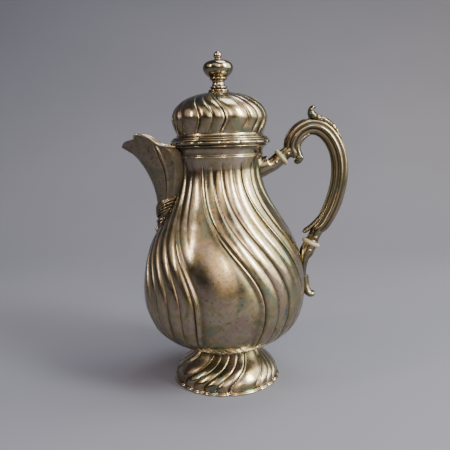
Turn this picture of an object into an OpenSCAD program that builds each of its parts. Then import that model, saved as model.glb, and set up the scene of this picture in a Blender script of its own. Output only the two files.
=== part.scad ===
// Silver coffee pot with a lift-off domed lid, an open beak spout and a scrolled handle that is
// carried on two ivory insulating rings. The body, the foot and the dome have swirling flutes.
// The origin is the centre of the foot at table level, +Z is up and the handle points to +X.

/* [Body] */
// Largest radius of the body, over the flutes
belly_r = 60; // [59:0.5:61]
// Radius of the narrowest part of the neck
neck_r = 29.2; // [28.8:0.1:29.6]
// Height of the belly's widest place
belly_z = 72; // [70:1:74]
// Thickness of the raised sheet
wall = 1.2; // [1:0.1:1.3]
// Depth of the deepest valleys, as a share of the radius
flute_share = 0.034; // [0.02:0.002:0.036]
// How far the flutes swirl between neck and belly, in degrees
swirl = 47; // [40:1:52]

/* [Foot] */
// Radius of the foot over its rim wire
foot_r = 40.4; // [40:0.1:41]
// Height of the foot
foot_h = 24; // [23:0.5:24]

/* [Mouth and lid] */
// Radius of the mouth rim wire
mouth_r = 36.4; // [36:0.1:37]
// Gap between the lid and the mouth rim
lid_gap = 0.2; // [0.1:0.1:0.4]
// Largest radius of the lid's dome
dome_r = 34.4; // [34:0.1:35]
// Gap between the lid's sleeve and the neck
sleeve_gap = 0.3; // [0.2:0.1:0.5]
// Largest radius of the finial's bulb
bulb_r = 10.8; // [10:0.1:11]

/* [Handle] */
// Half-width of the grip where it is held
grip_w = 6.2; // [5.8:0.1:6.4]
// Radius of the sockets on the body that hold the insulators
socket_r = 5.2; // [5:0.1:5.4]
// Radius of the ferrules that join the insulators to the grip
ferrule_r = 4.4; // [4.3:0.05:4.6]
// Radius of the insulators' tenons
tenon_r = 3.2; // [3:0.1:3.4]
// Radius of the pins through the tenons
pin_r = 0.8; // [0.7:0.05:0.9]

/* [Spout] */
// Diameter of the wire along the spout's top edges
rim_wire_d = 1.6; // [1.4:0.1:1.8]
// Radius of each strainer hole
strainer_r = 1.1; // [1:0.1:1.2]

/* [Hidden] */

silver = [0.72, 0.70, 0.64];
ivory = [0.88, 0.83, 0.70];
round_fn = 96;
small_fn = 48;
fit_gap = 0.05;

// Heights of the joints between the pieces
rim_wire_h = 2.4;
base_z = 26.5;
neck_z = 167;
collar_z = 175;
mouth_z = 177.2;
flange_z = mouth_z + lid_gap;
sleeve_z = 168.6;
dome_z = 182;
dome_top_z = 211;
stem_z = dome_top_z + 5;
bulb_z = stem_z + 5.8;
ball_z = bulb_z + 12.1;
// Radius of the bore that the lid's sleeve drops into
neck_bore_r = 29.3;

// ---- Curves ----

function mix(a, b, t) = a + (b - a) * t;
function smooth(t) = let (c = max(0, min(1, t))) c * c * (3 - 2 * c);

// A point on the smooth curve through the points p, on the stretch after point i
function curve_at(p, i, t) =
    let (last = len(p) - 1, a = p[max(i - 1, 0)], b = p[i], c = p[min(i + 1, last)], d = p[min(i + 2, last)])
    0.5 * (2 * b + (c - a) * t + (2 * a - 5 * b + 4 * c - d) * t * t
        + (3 * b - a - 3 * c + d) * t * t * t);

// The smooth curve through the points p, with a number of steps between each two
function curve(p, steps) =
    concat([for (i = [0:len(p) - 2], k = [0:steps - 1]) curve_at(p, i, k / steps)], [p[len(p) - 1]]);

// A profile moved inwards by d, square to itself, and kept between two heights
function inset(p, d, low, high) = [for (i = [0:len(p) - 1])
    let (a = p[max(i - 1, 0)], b = p[min(i + 1, len(p) - 1)], t = (b - a) / norm(b - a))
    [p[i][0] - d * t[1], max(low, min(high, p[i][1] + d * t[0]))]];

function reversed(p) = [for (i = [len(p) - 1:-1:0]) p[i]];

// ---- Flutes ----

// One repeat of the flutes, a wide lobe and then narrow ones. Each entry is the place across the
// wide lobe, the place along the narrow ones, and the depth below the crests.
wide_steps = 3;
weak = 0.6;
crest = 0.12;
function lobes(narrow) = concat(
    [for (i = [-wide_steps:wide_steps - 1]) [i / wide_steps, 0, pow(abs(i / wide_steps), 2.2)]],
    [for (i = [0:narrow * 2 - 1]) [1, i / 2, i % 2 == 1 ? crest : (i % 4 == 0 ? 1 : weak)]]);

// Angles are measured from -Y towards +X. centre is the middle of a wide lobe.
function fluted_ring(r, z, repeats, narrow, wide, centre, depth) =
    [for (k = [0:repeats - 1], s = lobes(narrow))
        let (period = 360 / repeats,
            a = centre + k * period + s[0] * wide / 2 + s[1] * (period - wide) / narrow,
            rr = r - depth * s[2])
        [rr * sin(a), -rr * cos(a), z]];

// ---- Solids from rings and sheets ----

// A solid through closed rings of points. A loop joins the last ring to the first.
module skin(rings, loop = false) {
    n = len(rings[0]);
    m = len(rings);
    sides = [for (j = [0:m - (loop ? 1 : 2)], i = [0:n - 1])
        let (k = (j + 1) % m, h = (i + 1) % n,
            a = j * n + i, b = k * n + i, c = k * n + h, d = j * n + h)
        each [[a, b, c], [a, c, d]]];
    caps = loop ? [] : [[for (i = [0:n - 1]) i], [for (i = [n - 1:-1:0]) (m - 1) * n + i]];
    polyhedron([for (r = rings) each r], concat(sides, caps), convexity = 8);
}

// A thick sheet between two grids of points with the same rows and columns
module thick_sheet(outer, inner) {
    rows = [for (j = [0:len(outer) - 1]) concat(outer[j], reversed(inner[j]))];
    n = len(rows[0]);
    m = len(rows);
    half = n / 2;
    sides = [for (j = [0:m - 2], i = [0:n - 1])
        let (h = (i + 1) % n, a = j * n + i, b = a + n, c = (j + 1) * n + h, d = j * n + h)
        each [[a, b, c], [a, c, d]]];
    first = [for (i = [0:half - 2]) each [[i, i + 1, n - 2 - i], [i, n - 2 - i, n - 1 - i]]];
    last = [for (f = first) [for (v = reversed(f)) v + (m - 1) * n]];
    polyhedron([for (r = rows) each r], concat(sides, first, last), convexity = 8);
}

// A bar that follows a path of [x, z, half-width in the plane, half-width along Y]
module bar(path, steps, section) {
    p = curve(path, steps);
    last = len(p) - 1;
    skin([for (i = [0:last])
        let (a = p[max(i - 1, 0)], b = p[min(i + 1, last)], d = [b[0] - a[0], b[1] - a[1]], t = d / norm(d))
        [for (s = section)
            [p[i][0] - t[1] * p[i][2] * s[0], -p[i][3] * s[1], p[i][1] + t[0] * p[i][2] * s[0]]]]);
}

function round_section(n) = [for (i = [0:n - 1]) [cos(i * 360 / n), sin(i * 360 / n)]];
function reeded_section(reeds, depth) = [for (i = [0:2 * reeds - 1])
    (i % 2 == 0 ? 1 : 1 - depth) * [cos(i * 180 / reeds), sin(i * 180 / reeds)]];

// ---- Body ----

body_profile = curve([[24, base_z], [40, 32.5], [52, 42.5], [58.5, 57], [belly_r, belly_z],
    [57.2, 92], [51.8, 107], [44, 120.5], [36, 134], [31, 146], [neck_r, 157], [30.5, neck_z]], 2);
body_lookup = [for (p = body_profile) [p[1], p[0]]];
function body_r(z) = lookup(z, body_lookup);

flute_top_z = 164;
belly_centre = 4;
function body_centre(z) =
    belly_centre - swirl + swirl * smooth((157 - z) / 92) - 3 * smooth((60 - z) / 30);
function body_wide(z) = mix(36, 47, smooth((157 - z) / 80));
function body_depth(z) =
    flute_share * body_r(z) * smooth((flute_top_z - z) / 7) * mix(0.35, 1, smooth((z - base_z) / 12));
function body_ring(p, z) = fluted_ring(p[0], p[1], 4, 4, body_wide(z), body_centre(z), body_depth(z));

// The strainer is a block of round holes through the body behind the spout
strainer_rows = 5;
strainer_columns = 3;
strainer_pitch = 5;
strainer_z = 143;

module body_shell() {
    inner = inset(body_profile, wall, base_z + wall, neck_z);
    last = len(body_profile) - 1;
    color(silver)
        difference() {
            skin(concat(
                [for (p = body_profile) body_ring(p, p[1])],
                [for (i = [last:-1:0]) body_ring(inner[i], body_profile[i][1])]));
            for (row = [0:strainer_rows - 1], column = [0:strainer_columns - 1])
                translate([0, (column - (strainer_columns - 1) / 2) * strainer_pitch,
                    strainer_z + row * strainer_pitch])
                    rotate([0, -90, 0])
                        cylinder(h = belly_r, r = strainer_r, $fn = 24);
        }
}

module revolved(points, fn = round_fn) {
    rotate_extrude($fn = fn)
        polygon(points);
}

// A small bead, then a cove that flares out under the mouth rim
module neck_collar() {
    color(silver)
        revolved([[neck_bore_r, neck_z], [30.9, neck_z], [31.3, neck_z + 0.7], [30.9, neck_z + 1.4],
            [31.1, neck_z + 3.5], [31.8, neck_z + 5.2], [33, neck_z + 6.6], [35, neck_z + 7.6],
            [35.2, collar_z], [33, collar_z], [31.6, collar_z - 0.6], [neck_bore_r + 1.2, collar_z - 2],
            [neck_bore_r, collar_z - 4]]);
}

// The rim wire is nicked at even steps
notches = 16;
notch_depth = 0.5;
mouth_bore_r = 32.6;
module mouth_rim() {
    steps = notches * 6;
    color(silver)
        translate([0, 0, collar_z])
            linear_extrude(mouth_z - collar_z)
                difference() {
                    polygon([for (i = [0:steps - 1])
                        let (r = mouth_r - (i % 6 == 0 ? notch_depth : 0), a = i * 360 / steps)
                        [r * sin(a), -r * cos(a)]]);
                    circle(mouth_bore_r, $fn = round_fn);
                }
}

// ---- Foot ----

foot_profile = curve([[foot_r - 1.6, rim_wire_h], [foot_r - 2.6, 8], [33.5, 13.5], [27, 19],
    [23, foot_h]], 2);
function foot_centre(z) = 19 + 32 * smooth((z - rim_wire_h) / (foot_h - rim_wire_h));
function foot_depth(z) = 1.6 * mix(1, 0.35, smooth(z / foot_h));
function foot_ring(p, z) = fluted_ring(p[0], p[1], 4, 4, 34, foot_centre(z), foot_depth(z));

module foot_shell() {
    under = inset(foot_profile, wall, rim_wire_h, foot_h);
    last = len(foot_profile) - 1;
    color(silver)
        skin(concat(
            [for (p = foot_profile) foot_ring(p, p[1])],
            [for (i = [last:-1:0]) foot_ring(under[i], foot_profile[i][1])]), loop = true);
}

foot_rim_width = 4.2;
foot_rim_depth = 1.2;
module foot_rim() {
    outer = fluted_ring(foot_r, 0, 4, 4, 34, foot_centre(0), foot_rim_depth);
    color(silver)
        linear_extrude(rim_wire_h)
            difference() {
                polygon([for (p = outer) [p[0], p[1]]]);
                circle(foot_r - foot_rim_width, $fn = round_fn);
            }
}

module foot_collar() {
    color(silver)
        revolved([[20.5, foot_h], [24.6, foot_h], [25.4, foot_h + 1.2], [24.8, base_z], [20.5, base_z]]);
}

// ---- Spout ----

// Half of each level of the beak, from the keel round to the side that meets the body
beak_steps = 6;
sink = 0.6;
function on_body(y, z) = [-sqrt(pow(body_r(z) - sink, 2) - y * y), y, z];
function level(keel_x, keel_z, y, z) = [for (i = [0:beak_steps])
    let (t = i / beak_steps, side = on_body(y, z))
    [mix(side[0], keel_x, pow(cos(90 * t), 0.9)), y * sin(90 * t), mix(keel_z, z, t)]];
lip = [[-71.5, 0, 174.6], [-68.8, 3.2, 178.2], [-61.5, 7.4, 180.4], [-58.4, 9.4, 182.6],
    [-50.5, 11.4, 180.4], [-42.6, 12.6, 175], [-31, 13.4, 173.4]];
beak_levels = [level(-48.4, 114, 4.5, 117), level(-47, 126, 7.5, 129), level(-48.6, 142, 10.5, 144),
    level(-53.8, 156, 12, 158), level(-61.5, 167.5, 13, 168), lip];
beak_rows = 16;
function beak_point(i, row) =
    let (s = row / beak_rows * (len(beak_levels) - 1), k = min(floor(s), len(beak_levels) - 2),
        column = [for (l = beak_levels) l[i]])
    curve_at(column, k, s - k);
function beak_side(p, side) = [p[0], p[1] * side, p[2]];
function beak_inner(i, row) =
    let (t = i / beak_steps, p = beak_point(i, row)) p + wall * [cos(90 * t), -sin(90 * t), 0];
function beak_row(row, inside) = [for (i = [-beak_steps:beak_steps])
    beak_side(inside ? beak_inner(abs(i), row) : beak_point(abs(i), row), i < 0 ? 1 : -1)];

module spout_shell() {
    color(silver)
        thick_sheet(
            [for (row = [0:beak_rows]) beak_row(row, false)],
            [for (row = [0:beak_rows]) beak_row(row, true)]);
}

// A round wire through points in space, with its rings square to the path. Its path never runs
// along the direction across.
wire_sides = 8;
module wire(path, d, across) {
    last = len(path) - 1;
    skin([for (i = [0:last])
        let (t = path[min(i + 1, last)] - path[max(i - 1, 0)], u = t / norm(t),
            a = cross(across, u), v = a / norm(a), w = cross(u, v))
        [for (k = [0:wire_sides - 1])
            path[i] + d / 2 * (v * cos(k * 360 / wire_sides) + w * sin(k * 360 / wire_sides))]]);
}

module spout_rim_wires() {
    edge = curve([for (i = [2:beak_steps]) lip[i] + [0, 0, rim_wire_d / 2]], 4);
    color(silver)
        for (side = [-1, 1])
            wire([for (p = edge) [p[0], p[1] * side, p[2]]], rim_wire_d, [0, 1, 0]);
}

// Bands laid over the lower end of the beak. Each crosses the keel and rises to the body on both
// sides.
band_keel_x = -47.6;
band_half_y = 10;
band_steps = 6;
function band_path(keel_z, rise) = [for (i = [-band_steps:band_steps])
    let (t = abs(i) / band_steps, z = keel_z + rise * t,
        y = band_half_y * sin(90 * t) * sign(i), side_x = -sqrt(pow(body_r(z), 2) - y * y) - 0.5)
    [mix(band_keel_x, side_x, 1 - cos(90 * t)), y, z]];

module spout_wrap() {
    color(silver) {
        wire(band_path(127, 10.5), 3.4, [0, 0, 1]);
        wire(band_path(119.4, 4.5), 2.4, [0, 0, 1]);
    }
}

drop_at = [-47.8, 0, 113.8];
drop_r = 2;
drop_tilt = 12;
module spout_drop() {
    color(silver)
        translate(drop_at)
            rotate([0, drop_tilt, 0]) {
                sphere(drop_r, $fn = 24);
                translate([0, 0, drop_r / 2])
                    cylinder(h = 4, r1 = 1.7, r2 = 0.9, $fn = 24);
            }
}

// ---- Handle joints ----

// Each insulator is a ring with a tenon on both sides. Given are the middle of its ring, the tilt
// of its axis above +X, its radius, and the places of its two cross pins as [along the axis, across]
ring_half = 1.7;
tenon_l = 6;
ferrule_l = tenon_l + 0.8;
upper_at = [44, 164.4];
upper_tilt = 38;
upper_r = 6.7;
upper_pins = [[-5.2, 0], [5.2, 0.8]];
lower_at = [65.3, 100.8];
lower_tilt = 64;
lower_r = 7.1;
lower_pins = [[-5.2, 0.8], [5.2, 0.8]];

module at_ring(at, tilt) {
    translate([at[0], 0, at[1]])
        rotate([0, 90 - tilt, 0])
            children();
}

// The place in the plane of the handle that lies along and across a ring's axis
function ring_point(at, tilt, along, across) =
    at + along * [cos(tilt), sin(tilt)] + across * [sin(tilt), -cos(tilt)];

pin_head_r = 1.25;
pin_head_h = 0.6;
module pin_holes(pins) {
    for (p = pins)
        translate([p[1], 0, p[0]])
            rotate([90, 0, 0])
                cylinder(h = 6 * socket_r, r = pin_r + fit_gap, center = true, $fn = small_fn);
}

module insulator(at, tilt, r, pins) {
    color(ivory)
        at_ring(at, tilt)
            difference() {
                union() {
                    revolved([[0, -ring_half], [r - 1, -ring_half], [r - 0.3, -ring_half + 0.5], [r, -0.5],
                        [r, 0.5], [r - 0.3, ring_half - 0.5], [r - 1, ring_half], [0, ring_half]], small_fn);
                    cylinder(h = 2 * (ring_half + tenon_l), r = tenon_r, center = true, $fn = small_fn);
                }
                pin_holes(pins);
            }
}

module cross_pin(half) {
    cylinder(h = 2 * half, r = pin_r, center = true, $fn = small_fn);
    for (side = [-1, 1])
        scale([1, 1, side])
            translate([0, 0, half - 0.01])
                cylinder(h = pin_head_h, r1 = pin_head_r, r2 = pin_r, $fn = small_fn);
}

// One pin through the socket and one through the ferrule
module cross_pins(at, tilt, pins) {
    color(silver)
        at_ring(at, tilt)
            for (p = pins)
                translate([p[1], 0, p[0]])
                    rotate([90, 0, 0])
                        cross_pin((p[0] < 0 ? socket_r : ferrule_r) + fit_gap);
}

// A silver tube end over a tenon, on the handle's side of a ring
module ferrule(at, tilt, pins) {
    color(silver)
        at_ring(at, tilt)
            difference() {
                translate([0, 0, ring_half])
                    revolved([[tenon_r + fit_gap, 0], [ferrule_r + 0.3, 0], [ferrule_r + 0.3, 0.8],
                        [ferrule_r, 1.1], [ferrule_r, ferrule_l], [tenon_r + fit_gap, ferrule_l]], small_fn);
                pin_holes([pins[1]]);
            }
}

module upper_insulator() {
    insulator(upper_at, upper_tilt, upper_r, upper_pins);
}

module lower_insulator() {
    insulator(lower_at, lower_tilt, lower_r, lower_pins);
}

module upper_insulator_pins() {
    cross_pins(upper_at, upper_tilt, upper_pins);
}

module lower_insulator_pins() {
    cross_pins(lower_at, lower_tilt, lower_pins);
}

module upper_ferrule() {
    ferrule(upper_at, upper_tilt, upper_pins);
}

module lower_ferrule() {
    ferrule(lower_at, lower_tilt, lower_pins);
}

// The solid inside the body's outline, which cuts the sockets to fit against the body
module body_core() {
    revolved(concat([[0, base_z]], [for (p = body_profile) p - [sink, 0]], [[0, neck_z]]));
}

// A closed section between two points in the plane of the handle, with a half-width along Y
function section_between(low, high, half_y, n) = [for (i = [0:n - 1])
    let (c = (low + high) / 2, v = (high - low) / 2, a = i * 360 / n)
    [c[0] + v[0] * cos(a), -half_y * sin(a), c[1] + v[1] * cos(a)]];

module tenon_bore(at, tilt, pins) {
    at_ring(at, tilt) {
        translate([0, 0, -ring_half - tenon_l - 0.4])
            cylinder(h = tenon_l + 0.4, r = tenon_r + fit_gap, $fn = small_fn);
        pin_holes([pins[0]]);
    }
}

socket_sides = 20;
module upper_socket() {
    face_low = ring_point(upper_at, upper_tilt, -ring_half, socket_r);
    face_high = ring_point(upper_at, upper_tilt, -ring_half, -socket_r);
    near_low = ring_point(upper_at, upper_tilt, -ring_half - 6.5, socket_r + 0.1);
    near_high = ring_point(upper_at, upper_tilt, -ring_half - 6.5, -socket_r - 0.1);
    color(silver)
        difference() {
            skin([section_between([28.4, 149], [28.4, 165.8], 8, socket_sides),
                section_between([30.6, 150], [30.4, 165.4], 7.4, socket_sides),
                section_between([35, 152.4], [33.4, 165.6], 6.2, socket_sides),
                section_between(near_low, near_high, socket_r, socket_sides),
                section_between(face_low, face_high, socket_r, socket_sides)]);
            body_core();
            tenon_bore(upper_at, upper_tilt, upper_pins);
        }
}

module lower_socket() {
    face_low = ring_point(lower_at, lower_tilt, -ring_half, socket_r);
    face_high = ring_point(lower_at, lower_tilt, -ring_half, -socket_r);
    near_low = ring_point(lower_at, lower_tilt, -ring_half - 6.5, socket_r);
    near_high = ring_point(lower_at, lower_tilt, -ring_half - 6.5, -socket_r);
    color(silver)
        difference() {
            skin([section_between([61.6, 75], [58.6, 75], 2.4, socket_sides),
                section_between([61.9, 81.5], [57, 81], 3.2, socket_sides),
                section_between([63.8, 88.4], [56.6, 87.4], 4.5, socket_sides),
                section_between(near_low, near_high, socket_r, socket_sides),
                section_between(face_low, face_high, socket_r, socket_sides)]);
            body_core();
            tenon_bore(lower_at, lower_tilt, lower_pins);
        }
}

module tail_scroll() {
    color(silver)
        bar([[60.1, 75, 2, 2.6], [60.2, 70, 2, 2.8], [61, 66, 2.2, 3.2], [62.6, 63, 2.5, 3.6],
            [64.8, 61.8, 2.4, 3.8], [66.8, 62.4, 1.5, 2.8]], 4, round_section(12));
}

// ---- Handle ----

// The space that a ferrule takes up
module ferrule_space(at, tilt) {
    at_ring(at, tilt)
        cylinder(h = ring_half + ferrule_l, r = ferrule_r + 0.35, $fn = small_fn);
}

module handle_grip() {
    w = grip_w;
    end = ring_point(lower_at, lower_tilt, ring_half + ferrule_l - 0.5, 0);
    end_on = ring_point(lower_at, lower_tilt, ring_half + ferrule_l + 3, 0);
    color(silver)
        difference() {
            union() {
                bar([[54.9, 164.6, 2.4, 3.4], [53.4, 167, 4.2, 4.4], [52, 169.8, 5.5, 5.2],
                    [51.7, 172.6, 5.9, 5.6], [52.6, 176, w, 6], [55, 180, w, w],
                    [59, 183.7, w, w], [65.2, 186, w, w], [72.5, 184.6, w, w], [79.6, 178.4, w, w],
                    [84.8, 168, w, w], [86.6, 155, w, w], [85.2, 142, w, w], [80.8, 127.6, w, w],
                    [74.4, 115.4, 5.6, 5.6], [end_on[0], end_on[1], 4.8, 4.8],
                    [end[0], end[1], 4.6, 4.6]], 3, reeded_section(8, 0.1));
                bar([[62, 179.4, 1.6, 3.2], [58, 176, 2.2, 3.8], [56, 172.4, 2.4, 4.2],
                    [55.9, 168.8, 2.5, 4.4], [57, 165.6, 2.6, 4.5], [57.3, 163, 2.4, 4.6],
                    [55.7, 161.2, 2.3, 4.4], [53.4, 161.2, 1.6, 3]], 3, round_section(12));
                bar([[75, 124, 1.4, 2.8], [69.4, 117, 1.6, 3], [64.4, 112.6, 1.6, 3],
                    [60.6, 109.8, 1.8, 3], [58.8, 109, 1.2, 2]], 3, round_section(12));
            }
            ferrule_space(upper_at, upper_tilt);
            ferrule_space(lower_at, lower_tilt);
        }
}

module thumb_leaf() {
    color(silver)
        bar([[85, 179.2, 0.9, 2.4], [80.2, 185.4, 1.4, 4], [75.2, 189, 1.8, 5], [71, 191.4, 2.3, 5.2],
            [68.4, 193.7, 2.6, 4.8], [67.3, 196.4, 2.2, 4.4], [67.6, 198.7, 1.7, 4.2],
            [69, 199.7, 1.3, 3.8], [70.2, 198.7, 0.8, 3]], 3, round_section(10));
}

// ---- Lid ----

dome_profile = curve([[31, dome_z], [33, 187], [dome_r, 194], [31.6, 201], [25, 206.6], [16, 210],
    [8.6, dome_top_z]], 2);
dome_lookup = [for (p = dome_profile) [p[1], p[0]]];
function dome_centre(z) = 22 - 30 * pow(max(0, z - 192) / 19, 2) - 8 * smooth((192 - z) / 12);
function dome_depth(z) = flute_share * 1.25 * lookup(z, dome_lookup) * mix(0.3, 1, smooth((z - dome_z) / 6));
function dome_ring(p, z) = fluted_ring(p[0], p[1], 6, 2, 30, dome_centre(z), dome_depth(z));

// The threaded stud that holds the finial to the dome, and the bore that it passes through
stud_r = 1.5;
stud_l = 30;
stud_z = dome_top_z - 7.6;
module stud_bore() {
    translate([0, 0, stud_z - 1])
        cylinder(h = ball_z - stud_z + 1.1, r = stud_r + fit_gap, $fn = small_fn);
}

module lid_dome() {
    last = len(dome_profile) - 1;
    inner = inset(dome_profile, wall, dome_z, dome_top_z - wall);
    color(silver)
        difference() {
            skin(concat(
                [for (i = [last:-1:0]) dome_ring(inner[i], dome_profile[i][1])],
                [for (p = dome_profile) dome_ring(p, p[1])]));
            stud_bore();
        }
}

flange_bore_r = 28.6;
module lid_flange() {
    color(silver)
        revolved([[flange_bore_r, flange_z], [35.2, flange_z], [35.6, flange_z + 0.6],
            [35.2, flange_z + 1.2], [33.8, flange_z + 1.5], [34.2, flange_z + 2.1],
            [33.8, flange_z + 2.7], [32, flange_z + 3.2], [31.2, dome_z], [29, dome_z],
            [flange_bore_r, dome_z - 0.8]]);
}

// The lid's sleeve, which drops into the neck
sleeve_wall = 1.1;
module lid_bezel() {
    outer_r = neck_bore_r - sleeve_gap;
    color(silver)
        revolved([[outer_r - sleeve_wall, sleeve_z], [outer_r - 0.3, sleeve_z], [outer_r, sleeve_z + 0.8],
            [outer_r, flange_z], [outer_r - sleeve_wall, flange_z]]);
}

module finial_base() {
    color(silver)
        difference() {
            translate([0, 0, dome_top_z])
                revolved([[0, 0], [8.4, 0], [8.5, 0.5], [7.2, 0.9], [7.3, 2], [6.7, 2.6], [5.4, 3],
                    [6.1, 3.7], [6, 4.4], [4.8, 5], [0, stem_z - dome_top_z]]);
            stud_bore();
        }
}

module finial_stem() {
    color(silver)
        difference() {
            translate([0, 0, stem_z])
                revolved([[0, 0], [4.8, 0], [4.3, 1.4], [4.5, 3.2], [5.2, 4.2], [6.1, 4.6],
                    [6.3, 5.2], [6, 5.8], [0, bulb_z - stem_z]]);
            stud_bore();
        }
}

module finial_bulb() {
    color(silver)
        difference() {
            translate([0, 0, bulb_z])
                revolved([[0, 0], [6.4, 0], [8.4, 1.6], [9.9, 3.6], [bulb_r, 6], [10.4, 8.2],
                    [9, 10.2], [6.8, 11.4], [3, 12.1], [0, ball_z - bulb_z]]);
            stud_bore();
        }
}

ball_r = 2.9;
ball_rise = 3.2;
module finial_ball() {
    color(silver)
        translate([0, 0, ball_z])
            revolved(concat([[0, 0], [2.2, 0], [2.5, 0.5], [2.1, 1]],
                [for (a = [-45:15:90]) [ball_r * cos(a), ball_rise + ball_r * sin(a)]]), small_fn);
}

module finial_stud() {
    color(silver)
        translate([0, 0, stud_z])
            cylinder(h = stud_l, r = stud_r, $fn = small_fn);
}

washer_h = 0.8;
washer_r = 4.5;
washer_z = dome_top_z - wall - washer_h;
module finial_washer() {
    color(silver)
        difference() {
            translate([0, 0, washer_z])
                cylinder(h = washer_h, r = washer_r, $fn = small_fn);
            stud_bore();
        }
}

nut_h = 2.4;
nut_corner_r = 3.2;
module finial_nut() {
    color(silver)
        difference() {
            translate([0, 0, washer_z - nut_h])
                cylinder(h = nut_h, r = nut_corner_r, $fn = 6);
            stud_bore();
        }
}

body_shell();
neck_collar();
mouth_rim();
foot_shell();
foot_rim();
foot_collar();
spout_shell();
spout_rim_wires();
spout_wrap();
spout_drop();
upper_socket();
upper_insulator();
upper_insulator_pins();
upper_ferrule();
handle_grip();
thumb_leaf();
lower_ferrule();
lower_insulator();
lower_insulator_pins();
lower_socket();
tail_scroll();
lid_dome();
lid_flange();
lid_bezel();
finial_base();
finial_stem();
finial_bulb();
finial_ball();
finial_stud();
finial_washer();
finial_nut();
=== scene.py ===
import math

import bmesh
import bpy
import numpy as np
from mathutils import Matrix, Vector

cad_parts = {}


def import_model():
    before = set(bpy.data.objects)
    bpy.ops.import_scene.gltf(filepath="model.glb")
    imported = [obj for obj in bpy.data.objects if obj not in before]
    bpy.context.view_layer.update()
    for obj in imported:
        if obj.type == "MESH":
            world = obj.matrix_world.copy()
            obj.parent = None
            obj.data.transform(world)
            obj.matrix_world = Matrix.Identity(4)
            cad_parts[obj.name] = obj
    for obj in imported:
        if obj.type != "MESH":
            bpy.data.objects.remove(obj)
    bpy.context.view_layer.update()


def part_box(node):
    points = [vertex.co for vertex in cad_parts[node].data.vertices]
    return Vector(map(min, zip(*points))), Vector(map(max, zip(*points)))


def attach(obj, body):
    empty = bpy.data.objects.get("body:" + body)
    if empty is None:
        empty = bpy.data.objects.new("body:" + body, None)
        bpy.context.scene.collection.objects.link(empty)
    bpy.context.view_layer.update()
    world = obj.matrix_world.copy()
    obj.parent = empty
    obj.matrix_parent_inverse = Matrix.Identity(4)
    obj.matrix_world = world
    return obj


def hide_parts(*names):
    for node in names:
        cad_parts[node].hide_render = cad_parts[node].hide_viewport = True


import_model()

# The looks of a silver coffee pot. Every surface is built again at high resolution from the same
# rules as the frame, so that its reflections run smoothly. Lengths in the rules are in millimetres,
# and mesh_object() turns them into metres. Angles round the pot are measured from -Y, the side the
# camera sees, towards +X, the handle. A piece's cavity is a number from 0 to 1 at each vertex, which
# says how deep it lies in a groove, and its material darkens there with grime and painted shade.

MM = 0.001


# ------ places taken from the frame

def box_mm(node):
    """The lowest and highest corner of a CAD node, in millimetres."""
    low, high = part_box(node)
    return np.array(low) / MM, np.array(high) / MM


def radius_mm(node):
    """The largest radius of a CAD node that is centred on the pot's axis."""
    low, high = box_mm(node)
    return (high[1] - low[1]) / 2


def heights(node):
    """The lowest and highest point of a CAD node."""
    low, high = box_mm(node)
    return low[2], high[2]


BODY_LOW, BODY_TOP = heights("body_shell")
BELLY_R = radius_mm("body_shell")
FOOT_R = radius_mm("foot_rim")
FOOT_RIM_H = heights("foot_rim")[1]
FOOT_TOP = heights("foot_shell")[1]
DOME_LOW, DOME_TOP = heights("lid_dome")
DOME_R = radius_mm("lid_dome")
MOUTH_LOW, MOUTH_TOP = heights("mouth_rim")
MOUTH_R = radius_mm("mouth_rim")
FLANGE_LOW = heights("lid_flange")[0]
TOP = heights("finial_ball")[1]
WALL = 1.2  # thickness of the raised silver


# ------ curves

def smooth(t):
    c = np.clip(t, 0, 1)
    return c * c * (3 - 2 * c)


def mix(a, b, t):
    return a + (b - a) * t


def spline(a, b, c, d, t):
    """The point at t between b and c, on the smooth curve through four points."""
    return 0.5 * (2 * b + (c - a) * t + (2 * a - 5 * b + 4 * c - d) * t ** 2
                  + (3 * b - a - 3 * c + d) * t ** 3)


def curve(points, count):
    """count points, evenly spaced in length, on the smooth curve through the points."""
    p = np.array(points, float)
    padded = np.vstack([2 * p[0] - p[1], p, 2 * p[-1] - p[-2]])
    fine = []
    for i in range(len(p) - 1):
        for t in np.linspace(0, 1, 24, endpoint=False):
            fine.append(spline(*padded[i:i + 4], t))
    fine.append(p[-1])
    fine = np.array(fine)
    run = np.concatenate([[0], np.cumsum(np.linalg.norm(np.diff(fine[:, :2], axis=0), axis=1))])
    at = np.linspace(0, run[-1], count)
    return np.stack([np.interp(at, run, fine[:, k]) for k in range(p.shape[1])], axis=1)


def even_curve(points, count):
    """The smooth curve through points in space, with its points as evenly spaced as they are given."""
    p = np.array(points, float)
    n = len(p) - 1
    result = []
    for s in np.linspace(0, n, count):
        k = min(int(s), n - 1)
        result.append(spline(p[max(k - 1, 0)], p[k], p[k + 1], p[min(k + 2, n)], s - k))
    return np.array(result)


def inset(profile, distance, low, high):
    """A profile of (r, z) moved towards its inner side, square to itself, between two heights."""
    t = np.gradient(profile, axis=0)
    t /= np.linalg.norm(t, axis=1)[:, None]
    moved = profile + distance * np.stack([-t[:, 1], t[:, 0]], axis=1)
    moved[:, 1] = np.clip(moved[:, 1], low, high)
    return moved


# ------ meshes

def part(node, material, slot, body="pot"):
    """What a piece says of itself: its name, its material and slot, the CAD node that it replaces
    and the body that it rides on."""
    return {"name": node + "_looks", "material": material, "slot": slot, "nodes": [node], "body": body}


def mesh_object(points, faces, cavity, name, material, slot, nodes, body):
    """A smooth-shaded piece from points in millimetres."""
    mesh = bpy.data.meshes.new(name)
    mesh.from_pydata((np.reshape(points, (-1, 3)) * MM).tolist(), [], faces)
    mesh.update()
    layer = mesh.attributes.new("cavity", "FLOAT", "POINT")
    layer.data.foreach_set("value", np.asarray(cavity, np.float32).ravel())
    mesh.polygons.foreach_set("use_smooth", [True] * len(mesh.polygons))
    mesh.materials.append(material)
    piece = bpy.data.objects.new(name, mesh)
    bpy.context.scene.collection.objects.link(piece)
    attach(piece, body)
    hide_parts(*nodes)
    return piece


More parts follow.
